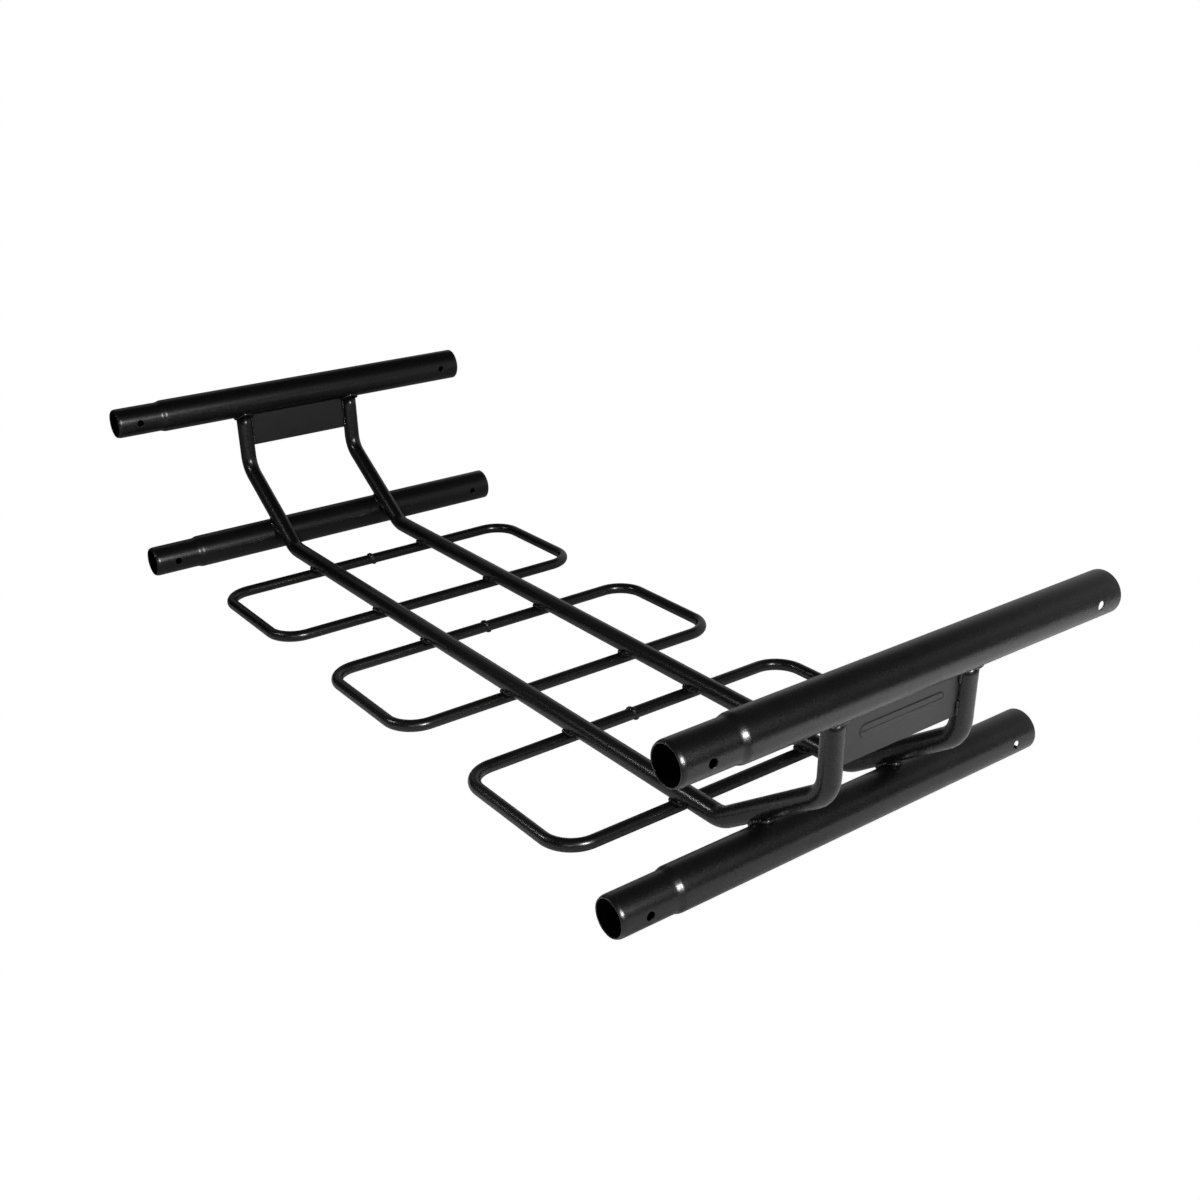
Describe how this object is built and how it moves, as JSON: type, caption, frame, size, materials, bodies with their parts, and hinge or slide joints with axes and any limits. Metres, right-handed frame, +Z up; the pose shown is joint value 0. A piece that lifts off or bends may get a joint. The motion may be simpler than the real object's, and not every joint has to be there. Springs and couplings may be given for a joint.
{
  "type": "roof cargo basket extension",
  "caption": "Shallow welded steel tube tray with rod loop floor and swaged rail ends that plug and bolt between roof cargo basket sections.",
  "frame": {"origin": "centre of the tray in plan, on the plane of the floor loops' undersides", "axes": "+X across the vehicle along the cross tubes, towards the right side; +Y along the rails, from the spigot ends to the socket ends; +Z up"},
  "size_m": [0.9906, 0.43, 0.1848],
  "materials": {
    "powder_coat_rail": "satin black powder coat with a fine grain, on round tube",
    "powder_coat_tube": "satin black powder coat with a fine grain, on bent tube",
    "powder_coat_rod": "satin black powder coat, smoother and a little glossier, on round rod",
    "powder_coat_plate": "satin black powder coat on flat plate",
    "powder_coat_weld": "satin black powder coat over rippled weld metal"
  },
  "bodies": {
    "root": {"upper_rail_right": "powder_coat_rail", "upper_rail_left": "powder_coat_rail", "lower_rail_right": "powder_coat_rail", "lower_rail_left": "powder_coat_rail", "cross_tube_front": "powder_coat_tube", "cross_tube_rear": "powder_coat_tube", "floor_loop_left": "powder_coat_rod", "floor_loop_center": "powder_coat_rod", "floor_loop_right": "powder_coat_rod", "side_plate_right": "powder_coat_plate", "side_plate_left": "powder_coat_plate", "upright_welds_right": "powder_coat_weld", "upright_welds_left": "powder_coat_weld", "lower_rail_welds_right": "powder_coat_weld", "lower_rail_welds_left": "powder_coat_weld", "loop_welds_left": "powder_coat_weld", "loop_welds_center": "powder_coat_weld", "loop_welds_right": "powder_coat_weld", "loop_butt_weld_left": "powder_coat_weld", "loop_butt_weld_center": "powder_coat_weld", "loop_butt_weld_right": "powder_coat_weld", "plate_welds_right": "powder_coat_weld", "plate_welds_left": "powder_coat_weld"}
  },
  "joints": []
}
